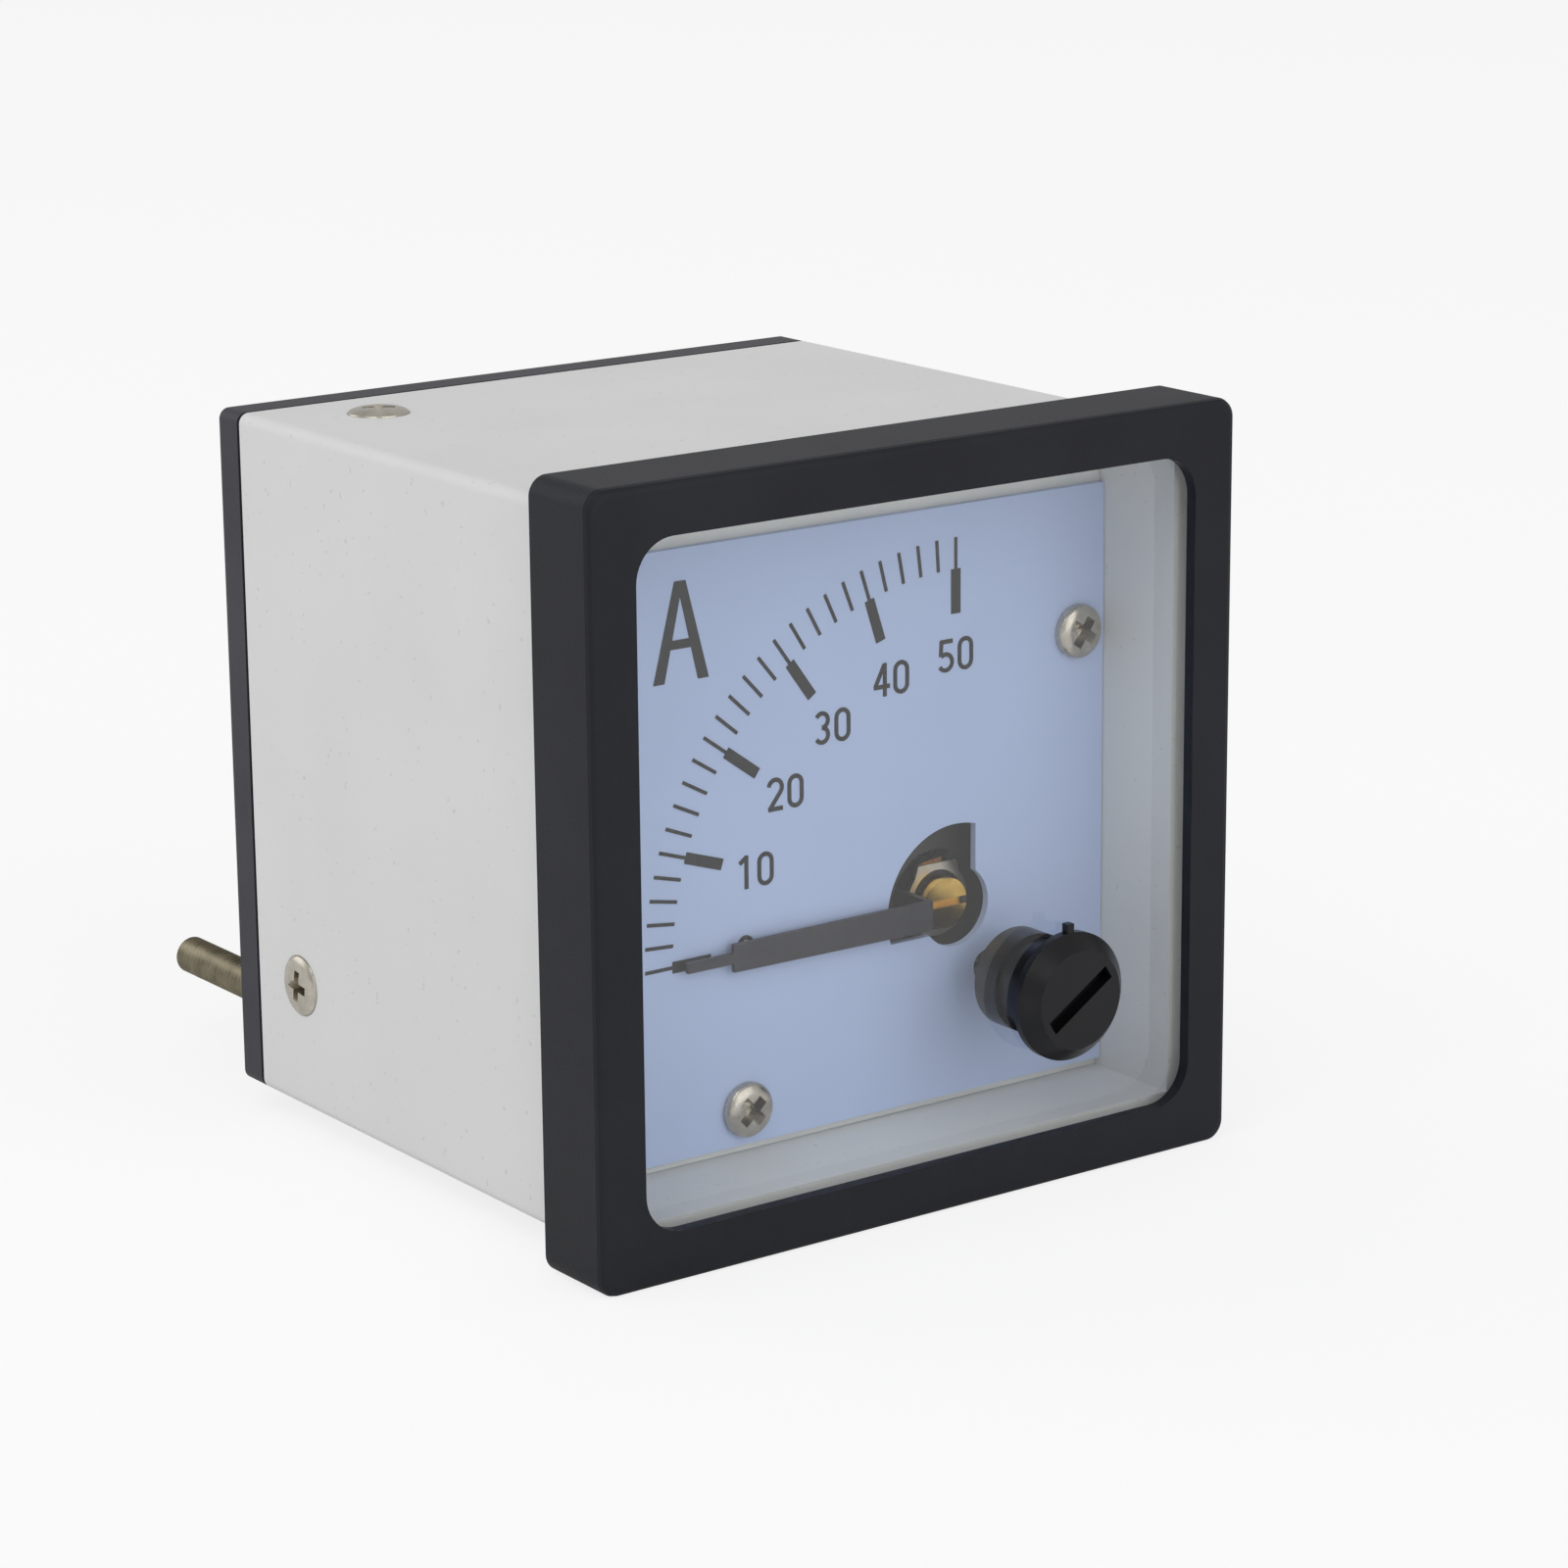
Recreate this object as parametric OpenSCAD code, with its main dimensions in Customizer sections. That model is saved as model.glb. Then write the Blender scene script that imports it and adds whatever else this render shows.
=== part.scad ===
// Square panel ammeter with a moving-coil movement and a 90 degree scale.
// Millimetres. X runs to the right seen from the front, Y runs to the rear, Z is up.
// The origin is the centre of the panel cut-out, on the plane where the bezel seats.

/* [Bezel and window] */
// Width and height of the square front frame
bezel_w = 48; // [47:0.5:52]
// Depth of the frame in front of the panel
bezel_t = 6; // [5:0.5:8]
// Radius of the frame's outer corners
bezel_corner_r = 1.2; // [0.6:0.1:2]
// Rounding of the frame's front edge
bezel_edge_r = 0.5; // [0.2:0.1:0.7]
// Width of the frame's face round the window
rim_w = 3.2; // [3:0.1:4]
// Radius of the window's corners
window_corner_r = 2.6; // [1:0.1:4]
// Thickness of the lip in front of the glass
lip_t = 0.8; // [0.6:0.1:1.2]
// Thickness of the window pane
glass_t = 2; // [1.5:0.1:2.4]

/* [Housing and rear cover] */
// Overhang of the frame round the housing
ledge = 1.7; // [1.5:0.05:2]
// Wall thickness of the housing
wall = 1.6; // [1.2:0.1:2]
// Depth of the housing behind the panel
body_depth = 35.8; // [34:0.2:45]
// Radius of the housing's long edges
body_corner_r = 0.7; // [0.3:0.1:1.2]
// Thickness of the rear cover
cover_t = 2.2; // [1.8:0.1:3]
// Open joint line between housing and cover
joint_gap = 0.3; // [0.2:0.1:0.5]
// Clearance round a piece that plugs into another
fit = 0.05; // [0.03:0.01:0.1]
// Distance of the left and right walls' screws from the nearest corner
side_screw_in = 8.3; // [7:0.1:10]
// Distance of the top and bottom walls' screws from the nearest corner
top_screw_in = 7.1; // [7:0.1:10]
// Distance of each wall screw in front of the housing's rear edge
wall_screw_inset = 5.2; // [4:0.2:7]
// Head diameter of the side screws
side_head_d = 3.9; // [3:0.1:4.2]

/* [Dial] */
// Depth of the dial's face behind the panel
dial_y = 3.4; // [3.4:0.1:5]
// Thickness of the dial plate
dial_t = 0.5; // [0.3:0.1:0.8]
// Gap between the dial's top edge and the housing
dial_gap_top = 2.9; // [2:0.1:4]
// Gap between the dial's bottom edge and the housing
dial_gap_bottom = 0.6; // [0.1:0.1:1]
// Height of the printed marks above the dial
print_t = 0.05; // [0.03:0.01:0.1]
// Distance of the scale's outer ends from the left-hand wall
scale_edge = 5.9; // [5:0.1:7]
// Length of the thin marks
tick_len = 2; // [1.5:0.1:2.5]
// Width of the thin marks
tick_w = 0.22; // [0.15:0.01:0.3]
// Length of the heavy marks
block_len = 2.8; // [2:0.1:3.2]
// Width of the heavy marks
block_w = 0.72; // [0.5:0.02:0.9]
// Number of divisions on the scale
divisions = 25; // [10:5:30]
// Height of the numerals
numeral_h = 2.1; // [1.6:0.1:2.4]
// Distance of the numerals' middles inside the scale's outer ends
numeral_in = 7.4; // [7:0.1:8.5]
// Height of the unit letter
letter_h = 6.1; // [4:0.1:6.5]
// Head diameter of the dial screws
dial_head_d = 3.5; // [3:0.1:4]

/* [Movement] */
// Distance of the pivot axis from the right-hand wall
pivot_side = 11.9; // [11.9:0.1:13]
// Distance of the pivot axis from the floor of the housing
pivot_floor = 12.9; // [12:0.1:14]
// Radius of the magnet core
core_r = 4.8; // [4.4:0.1:4.8]
// Length of the magnet core
core_len = 7; // [6:0.1:8]
// Inner radius of the iron yoke ring
yoke_in_r = 7.2; // [7.1:0.1:7.6]
// Outer radius of the iron yoke ring
yoke_out_r = 10.9; // [10.2:0.1:11]
// Length of the iron yoke ring
yoke_len = 9.4; // [8:0.1:10]
// Width of the moving coil across its plane
coil_w = 3; // [2.4:0.1:3.2]
// Thickness of the copper winding
winding_t = 0.9; // [0.6:0.1:1]
// Thickness of the coil former
former_t = 0.25; // [0.2:0.05:0.3]
// Diameter of the jewel screws
jewel_screw_d = 3.2; // [2.8:0.1:3.2]
// Distance of the pointer's leg from the pivot axis
leg_r = 2.4; // [2.4:0.1:2.8]
// Distance of the pointer's tip inside the scale's outer ends
tip_in = 2.6; // [1.6:0.1:4]
// Width of the pointer's arm
arm_w = 1.95; // [1.2:0.05:2]
// Gap between pointer and dial
pointer_gap = 0.5; // [0.4:0.1:1]

/* [Zero adjuster] */
// Distance of the adjuster axis to the right of the pivot
adjuster_right = 2.5; // [2:0.1:3]
// Distance of the adjuster axis below the pivot
adjuster_down = 4.35; // [4.3:0.05:4.8]
// Diameter of the knob's rim
knob_d = 8.2; // [7:0.1:8.4]
// Diameter of the knob's flat face
knob_face_d = 6.3; // [5:0.1:6.6]
// Height of the knob in front of the glass
knob_h = 1.55; // [1:0.05:2]
// Diameter of the shank in the glass
shank_d = 5; // [4:0.1:5.2]
// Diameter of the flange behind the glass
flange_d = 6.4; // [5.6:0.1:6.6]
// Thickness of the flange behind the glass
flange_t = 2; // [1:0.1:2.2]
// Eccentricity of the adjuster's pin
pin_off = 0.5; // [0.3:0.05:0.6]

/* [Rear hardware] */
// Distance of each terminal from the middle
terminal_x = 9.5; // [8:0.5:11]
// Diameter of the terminal studs
terminal_d = 4; // [3:0.5:5]
// Length of the terminal studs behind the cover
terminal_len = 11.5; // [10.5:0.5:16]
// Width across the flats of the terminal nuts
nut_af = 7; // [6:0.5:8]
// Thickness of the terminal nuts
nut_t = 2.8; // [2:0.1:3.2]
// Distance of each mounting stud from the two nearest walls' outsides
stud_inset = 4.3; // [4.2:0.1:5]
// Diameter of the mounting studs
stud_d = 2.5; // [2:0.5:3]
// Length of the mounting studs behind the cover
stud_len = 14.8; // [10:0.1:20]

/* [Hidden] */
$fn = 48;
eps = 0.01;
run_gap = 0.08;      // radial clearance of a turning fit
face_gap = 0.05;     // clearance between flat faces that slide
spring_w = 0.12;     // thickness of the hairspring strip
spring_h = 0.35;     // height of the hairspring strip
plate_t = 0.3;       // thickness of the stamped metal parts of the movement

// Widths that follow from the frame
window_w = bezel_w - 2 * rim_w;
body_w = bezel_w - 2 * ledge;
cavity_w = body_w - 2 * wall;
inside_w = cavity_w - 2 * fit;
half_in = cavity_w / 2;
pivot_x = half_in - pivot_side;
pivot_z = -half_in + pivot_floor;
adjuster_x = pivot_x + adjuster_right;
adjuster_z = pivot_z - adjuster_down;
scale_r = pivot_x + half_in - scale_edge;
numeral_r = scale_r - numeral_in;
tip_r = scale_r - tip_in;
stud_off = body_w / 2 - stud_inset;

// Depths, front to rear
glass_front = -bezel_t + lip_t;
glass_back = glass_front + glass_t;
cover_y = body_depth + joint_gap;
cover_back = cover_y + cover_t;
dial_back = dial_y + dial_t;
base_t = 3.35;
base_back = dial_back + base_t;
bridge_t = 1.6;
jewel_front_y = dial_y + 0.9;
hub_plate_y = jewel_front_y + 0.95;
lever_y = base_back + face_gap;
jewel_screw_len = lever_y + plate_t + 0.5 - jewel_front_y;
spring_y = jewel_front_y + jewel_screw_len + face_gap;
cross_y = spring_y + spring_h + face_gap + plate_t;
coil_y = cross_y + plate_t + 0.5;
shoulder_t = 2.8;
yoke_y = base_back + shoulder_t;
coil_slack = 0.45;
coil_wall = former_t + winding_t;
core_y = coil_y + coil_wall + coil_slack;
coil_len = core_len + 2 * (coil_slack + coil_wall);
coil_back = coil_y + coil_len;
yoke_back = yoke_y + yoke_len;
rear_spring_y = coil_back + 0.7;
rear_screw_y = rear_spring_y + spring_h + face_gap;
rear_arm_y = rear_screw_y + 0.35;
rear_bridge_y = rear_arm_y + plate_t;

// Housing and base
pillar_w = 5;
pillar_end = base_back + 14;
pillar_at = half_in - 2.7;
base_screw_d = 1.6;
shoulder_r = 8.6;
opening_r = 11;
skirt_r = 12.2;
skirt_end = yoke_back - 1.4;
dial_screw_at = [[half_in - 2.25, half_in - 12.15], [-half_in + 13.2, -half_in + 2.9]];
base_screw_at = [[-pillar_at, half_in - 5.9], [pillar_at, half_in - 5.9], [-pillar_at, -pillar_at]];
dial_screw_d = 1.6;
dial_head_h = 0.8;
boss_r = 2.2;

// Dial cut-out round the pivot
hub_hole_r = 2.6;
sweep_r = 5.35;
sweep_side = 1.6;

// Pointer, coil and springs
swing = 3;                       // travel past each end of the scale
blade_t = 0.3;
blade_y = dial_y - pointer_gap - blade_t;
leg_t = 0.4;
stem_r = scale_r - 6;
stem_w = 0.66;
coil_gap = 0.5;
coil_in = core_r + coil_gap;
coil_out = coil_in + coil_wall;
sleeve_t = 0.28;
staff_r = 0.35;
collet_r = 0.75;
spring_turns = 3;
spring_end_r = 2.05;
leg_slot_in = leg_r - 0.15;
leg_slot_out = 3.2;
bridge_screw_r = 9.75;
bridge_angles = [-15, 165];
rear_bridge_w = 4;
rear_screw_r = 9.1;
web_angle = 45;

// Zero adjuster and lever
pin_r = 0.4;
lever_dx = adjuster_x - pivot_x;
lever_dz = adjuster_z - pivot_z;
lever_len = sqrt(lever_dx * lever_dx + lever_dz * lever_dz);
lever_angle = atan2(lever_dz, lever_dx);
lever_ring_r = 2.3;
fork_w = 2.2;
fork_gap = 0.1;
tag_angle = -25;
snap_d = shank_d + 0.8;
knob_front = glass_front - face_gap - knob_h;
knob_rim_h = 0.55;
flange_y = -1.4;
pin_end = lever_y + plate_t + 0.1;
knob_slot_l = 5.3;
knob_slot_w = 0.95;
knob_slot_deep = 0.9;
knob_slot_angle = 33;
pin_hole_r = pin_off + pin_r + 0.15;

// Rear hardware
terminal_head_t = 2.6;
tag_t = 0.5;
shunt_t = 1;
shunt_w = 7;
shunt_rise = 5;
washer_t = 0.8;
washer_r = 4.4;
spring_washer_t = 1;
spring_washer_r = 3.5;
cover_boss_r = 5;
cover_boss_t = 0.3;
plug_t = 1.4;
terminal_seat = cover_y - plug_t - cover_boss_t;
shunt_y = terminal_seat - shunt_t;
tag_y = shunt_y - tag_t;
neck_w = 0.4;        // width of the groove behind a stud's nut
neck_deep = 0.65;    // depth of that groove
end_step = 0.35;     // how much smaller in radius a stud's free end is
stud_root_r = stud_d / 2 + end_step;
stud_boss_r = 2.6;
stud_boss_len = 6;
lug_w = 6;
lug_t = 4;
lug_len = 8.5;
stud_nut_af = 5;
stud_nut_t = 2;
wall_screw_y = body_depth - wall_screw_inset;
side_screw_d = 2;
side_head_h = 1.1;
side_screw_len = 5;

// ---- helpers ------------------------------------------------------------

// Extrudes a drawing made in X and Z from depth y through thickness t
module slab(y, t) {
    translate([0, y + t, 0])
        rotate([90, 0, 0])
            linear_extrude(t)
                children();
}

// Cylinder along Y
module rod(x, z, r, y0, y1) {
    translate([x, y1, z])
        rotate([90, 0, 0])
            cylinder(h = y1 - y0, r = r);
}

// Solid turned about an axis along Y, from points of radius and depth
module turned(x, z, points) {
    translate([x, 0, z])
        rotate([-90, 0, 0])
            rotate_extrude()
                polygon(points);
}

// Square with round corners, centred
module round_square(w, r) {
    square([w - 2 * r, w], center = true);
    square([w, w - 2 * r], center = true);
    for (sx = [-1, 1], sz = [-1, 1])
        translate([sx * (w / 2 - r), sz * (w / 2 - r)])
            circle(r);
}

// Hexagonal nut or head on an axis along Y
module hexagon(x, z, af, y, t) {
    translate([x, y + t, z])
        rotate([90, 0, 0])
            cylinder(h = t, r = af / sqrt(3), $fn = 6);
}

// Moves to the pivot axis and turns by an angle in the plane of the dial,
// counted from the right towards the top
module from_pivot(angle = 0) {
    translate([pivot_x, 0, pivot_z])
        rotate([0, -angle, 0])
            children();
}

// Cross recess of a screw head at the origin, open towards -Y
module cross_recess(w, l, deep) {
    for (turn = [0, 90])
        rotate([0, turn, 0])
            translate([-l / 2, -eps, -w / 2])
                cube([l, deep + eps, w]);
}

// Screw along +Y with a round head in front of y = 0
module pan_screw(head_d, head_h, shank_d, length) {
    difference() {
        union() {
            turned(0, 0, [[0, -head_h], [head_d * 0.3, -head_h], [head_d * 0.43, -head_h * 0.8],
                          [head_d / 2, -head_h * 0.35], [head_d / 2, 0], [0, 0]]);
            rod(0, 0, shank_d / 2, 0, length);
        }
        translate([0, -head_h, 0])
            cross_recess(head_d * 0.16, head_d * 0.62, head_h * 0.6);
    }
}

// Screw along +Y with a flat head flush with y = 0
module flat_screw(head_d, head_h, shank_d, length) {
    difference() {
        turned(0, 0, [[0, 0], [head_d / 2, 0], [shank_d / 2, head_h], [shank_d / 2, length], [0, length]]);
        cross_recess(head_d * 0.15, head_d * 0.6, head_h * 0.7);
    }
}

// Hole for a flat screw whose head is flush with y = 0
module flat_screw_hole(head_d, head_h, shank_d, length) {
    turned(0, 0, [[0, -eps], [head_d / 2 + fit, -eps], [head_d / 2 + fit, 0], [shank_d / 2 + fit, head_h],
                  [shank_d / 2 + fit, length], [0, length]]);
}

// Points of a flat spiral strip, wound from one radius to another
function spiral(r0, r1, turns, start, side, steps = 96) = [
    for (i = [0:steps])
        let (a = start + 360 * turns * i / steps, r = r0 + (r1 - r0) * i / steps + side)
            [r * cos(a), r * sin(a)]
];

function reversed(list) = [for (i = [len(list) - 1:-1:0]) list[i]];

// Flat spiral spring with a collar at its inner end
module hairspring(y, start) {
    pitch_end = spring_end_r;
    slab(y, spring_h) {
        difference() {
            circle(collet_r);
            circle(staff_r + run_gap);
        }
        polygon(concat(
            spiral(collet_r, pitch_end, spring_turns, start, -spring_w / 2),
            reversed(spiral(collet_r, pitch_end, spring_turns, start, spring_w / 2))));
    }
}

// Closed tube of eight sides swept along points
function unit(v) = v / norm(v);
function tube_dir(p, i) = unit(p[min(i + 1, len(p) - 1)] - p[max(i - 1, 0)]);
function tube_side(d) = unit(cross(d, abs(d[2]) < 0.9 ? [0, 0, 1] : [1, 0, 0]));
function tube_ring(c, d, r, n) = [
    for (k = [0:n - 1])
        let (u = tube_side(d), v = cross(d, u))
            c + r * (cos(360 * k / n) * u + sin(360 * k / n) * v)
];
module tube(p, r) {
    n = 8;
    last = len(p) - 1;
    points = [for (i = [0:last]) each tube_ring(p[i], tube_dir(p, i), r, n)];
    sides = [for (i = [0:last - 1], k = [0:n - 1])
        [i * n + k, i * n + (k + 1) % n, (i + 1) * n + (k + 1) % n, (i + 1) * n + k]];
    first_cap = [for (k = [n - 1:-1:0]) k];
    last_cap = [for (k = [0:n - 1]) last * n + k];
    polyhedron(points, concat(sides, [first_cap, last_cap]));
}

// Smooth route through four control points
function bend(a, b, c, d, t) =
    pow(1 - t, 3) * a + 3 * pow(1 - t, 2) * t * b + 3 * (1 - t) * t * t * c + t * t * t * d;
function route(a, b, c, d, steps) = [for (i = [0:steps]) bend(a, b, c, d, i / steps)];

// ---- case -----------------------------------------------------------------

module bezel_frame() {
    color([0.17, 0.18, 0.2])
        difference() {
            hull() {
                slab(-bezel_t + bezel_edge_r, bezel_t - bezel_edge_r)
                    round_square(bezel_w, bezel_corner_r);
                for (a = [30, 60, 90])
                    slab(-bezel_t + bezel_edge_r * (1 - sin(a)), eps)
                        round_square(bezel_w - 2 * bezel_edge_r * (1 - cos(a)), bezel_corner_r);
            }
            slab(-bezel_t - 1, bezel_t + 2)
                round_square(window_w, window_corner_r);
            slab(glass_front, bezel_t + 1)
                round_square(body_w + 2 * fit, body_corner_r);
        }
}

module window_glass() {
    color([0.85, 0.92, 0.95, 0.3])
        slab(glass_front, glass_t)
            difference() {
                round_square(body_w, body_corner_r);
                translate([adjuster_x, adjuster_z])
                    circle(shank_d / 2 + run_gap);
            }
}

// Moves a child made for the right-hand wall to each of the four walls in turn
module on_walls() {
    for (turn = [0, 90, 180, 270])
        rotate([0, turn, 0])
            translate([body_w / 2, wall_screw_y, wall_screw_off(turn)])
                rotate([0, 0, 90])
                    children();
}

function wall_screw_off(turn) = body_w / 2 - (turn % 180 == 0 ? side_screw_in : top_screw_in);

module housing() {
    color([0.86, 0.86, 0.85])
        difference() {
            union() {
                slab(glass_back, body_depth - glass_back)
                    difference() {
                        round_square(body_w, body_corner_r);
                        square(cavity_w, center = true);
                    }
                slab(base_back, pillar_end - base_back)
                    for (p = base_screw_at)
                        translate([sign(p[0]) * (cavity_w - pillar_w + wall) / 2, p[1]])
                            square([pillar_w + wall, pillar_w], center = true);
            }
            for (p = base_screw_at)
                rod(p[0], p[1], base_screw_d / 2, base_back - eps, base_back + 8);
            on_walls()
                flat_screw_hole(side_head_d, side_head_h, side_screw_d, wall + 1);
        }
}

module rear_cover() {
    color([0.33, 0.33, 0.36])
        difference() {
            union() {
                slab(cover_y, cover_t)
                    round_square(body_w, body_corner_r);
                slab(cover_y - plug_t, plug_t + eps)
                    square(inside_w, center = true);
                for (s = [-1, 1]) {
                    rod(s * terminal_x, 0, cover_boss_r, terminal_seat, cover_y);
                    rod(s * stud_off, s * stud_off, stud_boss_r, cover_y - stud_boss_len, cover_y);
                }
                for (turn = [0, 90, 180, 270])
                    rotate([0, turn, 0])
                        translate([inside_w / 2 - lug_t, cover_y - lug_len, wall_screw_off(turn) - lug_w / 2])
                            cube([lug_t, lug_len, lug_w]);
            }
            for (s = [-1, 1]) {
                rod(s * terminal_x, 0, terminal_d / 2, terminal_seat - 1, cover_back + 1);
                rod(s * stud_off, s * stud_off, stud_root_r, cover_y - stud_boss_len + 1, cover_back + 1);
            }
            on_walls()
                rod(0, 0, side_screw_d / 2, 0, side_screw_len + 0.3);
        }
}

module side_screws() {
    color([0.75, 0.75, 0.72])
        on_walls()
            flat_screw(side_head_d, side_head_h, side_screw_d, side_screw_len);
}

// ---- dial -----------------------------------------------------------------

module dial_cutout() {
    translate([pivot_x, pivot_z]) {
        circle(hub_hole_r);
        intersection() {
            circle(sweep_r);
            translate([-sweep_r, -sweep_side])
                square([sweep_r + sweep_side, sweep_r + sweep_side]);
        }
    }
    translate([adjuster_x, adjuster_z])
        circle(pin_hole_r);
}

module dial_plate() {
    color([0.66, 0.72, 0.84])
        slab(dial_y, dial_t)
            difference() {
                translate([-inside_w / 2, -half_in + dial_gap_bottom])
                    square([inside_w, cavity_w - dial_gap_bottom - dial_gap_top]);
                dial_cutout();
                for (p = dial_screw_at)
                    translate(p)
                        circle(dial_screw_d / 2 + fit);
            }
}

module scale_marks() {
    major = floor(divisions / 5);
    color([0.22, 0.22, 0.23])
        slab(dial_y - print_t, print_t)
            translate([pivot_x, pivot_z])
                for (i = [0:divisions])
                    rotate(180 - 90 * i / divisions) {
                        translate([scale_r - tick_len, -tick_w / 2])
                            square([tick_len, tick_w]);
                        if (i % major == 0)
                            translate([scale_r - tick_len - block_len, -block_w / 2])
                                square([block_len + eps, block_w]);
                    }
}

// Points along an arc, for the rounded strokes of the numerals
function arc(x, y, r, from, to) = [
    for (i = [0:12])
        let (a = from + (to - from) * i / 12)
            [x + r * cos(a), y + r * sin(a)]
];

// Pen stroke of width w along points
module stroke(p, w) {
    n = len(p) - 1;
    side = [for (i = [0:n])
        let (d = unit(p[min(i + 1, n)] - p[max(i - 1, 0)]))
            [-d[1], d[0]] * w / 2];
    polygon(concat([for (i = [0:n]) p[i] + side[i]], [for (i = [n:-1:0]) p[i] - side[i]]));
}

// Numeral one unit high and 0.6 wide, standing on its lower left corner
module numeral(digit) {
    w = 0.13;
    if (digit == 0) {
        stroke(concat(arc(0.3, 0.72, 0.22, 0, 180), arc(0.3, 0.28, 0.22, 180, 360)), w);
        stroke([[0.52, 0.27], [0.52, 0.73]], w);
    }
    if (digit == 1) {
        stroke([[0.34, 0], [0.34, 1]], w);
        stroke([[0.1, 0.78], [0.36, 0.96]], w);
    }
    if (digit == 2) {
        stroke(concat(arc(0.3, 0.7, 0.235, 170, -40), [[0.08, 0.05]]), w);
        stroke([[0.05, 0.065], [0.56, 0.065]], w);
    }
    if (digit == 3) {
        stroke(arc(0.28, 0.72, 0.215, 150, -88), w);
        stroke(arc(0.28, 0.285, 0.22, 88, -150), w);
    }
    if (digit == 4) {
        stroke([[0.42, 0], [0.42, 1]], w);
        stroke([[0.4, 0.96], [0.06, 0.3]], w);
        stroke([[0.02, 0.3], [0.6, 0.3]], w);
    }
    if (digit == 5) {
        stroke([[0.54, 0.935], [0.1, 0.935]], w);
        stroke([[0.13, 0.98], [0.1, 0.5]], w);
        stroke(arc(0.28, 0.31, 0.245, 130, -150), w);
    }
}

module scale_numerals() {
    advance = 0.72;
    color([0.22, 0.22, 0.23])
        slab(dial_y - print_t, print_t)
            for (i = [0:5]) {
                digits = i == 0 ? [0] : [i, 0];
                a = 180 - 18 * i;
                translate([pivot_x + numeral_r * cos(a), pivot_z + numeral_r * sin(a)])
                    scale(numeral_h)
                        for (k = [0:len(digits) - 1])
                            translate([advance * (k - len(digits) / 2) + (advance - 0.6) / 2, -0.5])
                                numeral(digits[k]);
            }
}

module unit_letter() {
    foot_w = 4;
    top_w = 0.8;
    stem = 0.78;
    inner_top = letter_h - 0.9;
    bar_z = 2;
    bar_t = 0.55;
    left = -half_in + 6.83;
    base = half_in - 10.94;
    middle = foot_w / 2;
    bar_half = function (z) middle - stem - (middle - stem) * z / inner_top;
    color([0.22, 0.22, 0.23])
        slab(dial_y - print_t, print_t)
            translate([left, base]) {
                difference() {
                    polygon([[0, 0], [middle - top_w / 2, letter_h], [middle + top_w / 2, letter_h],
                             [foot_w, 0]]);
                    polygon([[stem, -eps], [middle, inner_top], [foot_w - stem, -eps]]);
                }
                polygon([[middle - bar_half(bar_z) - 0.1, bar_z],
                         [middle - bar_half(bar_z + bar_t) - 0.1, bar_z + bar_t],
                         [middle + bar_half(bar_z + bar_t) + 0.1, bar_z + bar_t],
                         [middle + bar_half(bar_z) + 0.1, bar_z]]);
            }
}

module dial_screws() {
    color([0.75, 0.73, 0.68])
        for (p = dial_screw_at)
            translate([p[0], dial_y, p[1]])
                pan_screw(dial_head_d, dial_head_h, dial_screw_d, dial_t + base_t + 1.5);
}

// ---- fixed parts of the movement ------------------------------------------

module movement_base() {
    color([0.88, 0.88, 0.87])
        difference() {
            union() {
                slab(dial_back, base_t)
                    square(inside_w, center = true);
                intersection() {
                    rod(pivot_x, pivot_z, skirt_r, base_back - eps, skirt_end);
                    slab(base_back - eps, skirt_end)
                        square(inside_w, center = true);
                }
                for (p = dial_screw_at)
                    rod(p[0], p[1], boss_r, base_back - eps, base_back + 2.5);
            }
            rod(pivot_x, pivot_z, opening_r, dial_back - 1, base_back);
            rod(pivot_x, pivot_z, shoulder_r, base_back - 1, yoke_y + 1);
            rod(pivot_x, pivot_z, yoke_out_r, yoke_y, skirt_end + 1);
            for (p = dial_screw_at)
                rod(p[0], p[1], dial_screw_d / 2, dial_back - 1, base_back + 2);
            for (p = base_screw_at)
                translate([p[0], dial_back, p[1]])
                    flat_screw_hole(2 * base_screw_d, 1.1, base_screw_d, base_t + 1);
            for (a = bridge_angles)
                from_pivot(a)
                    rod(bridge_screw_r, 0, 0.8, base_back - 1, yoke_y + 1);
        }
}

module base_screws() {
    color([0.75, 0.75, 0.72])
        for (p = base_screw_at)
            translate([p[0], dial_back, p[1]])
                flat_screw(2 * base_screw_d, 1.1, base_screw_d, base_t + 6);
}

module yoke_ring() {
    color([0.45, 0.46, 0.48])
        difference() {
            rod(pivot_x, pivot_z, yoke_out_r, yoke_y, yoke_back);
            rod(pivot_x, pivot_z, yoke_in_r, yoke_y - 1, yoke_back + 1);
            for (a = bridge_angles)
                from_pivot(a)
                    rod(bridge_screw_r, 0, 0.8, yoke_y - 1, yoke_y + 3.5);
            for (s = [-1, 1])
                from_pivot(web_angle)
                    rod(s * rear_screw_r, 0, 0.8, yoke_back - 3.5, yoke_back + 1);
        }
}

module core_magnet() {
    color([0.35, 0.35, 0.38])
        rod(pivot_x, pivot_z, core_r, core_y, core_y + core_len);
}

module core_sleeve() {
    color([0.78, 0.66, 0.35])
        difference() {
            union() {
                rod(pivot_x, pivot_z, core_r + sleeve_t, core_y, core_y + core_len);
                intersection() {
                    from_pivot(web_angle)
                        translate([-yoke_in_r - 1, core_y + 1, -coil_w / 2])
                            cube([2 * yoke_in_r + 2, core_len - 2, coil_w]);
                    rod(pivot_x, pivot_z, yoke_in_r, core_y, core_y + core_len);
                }
            }
            rod(pivot_x, pivot_z, core_r, core_y - 1, core_y + core_len + 1);
        }
}

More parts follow.
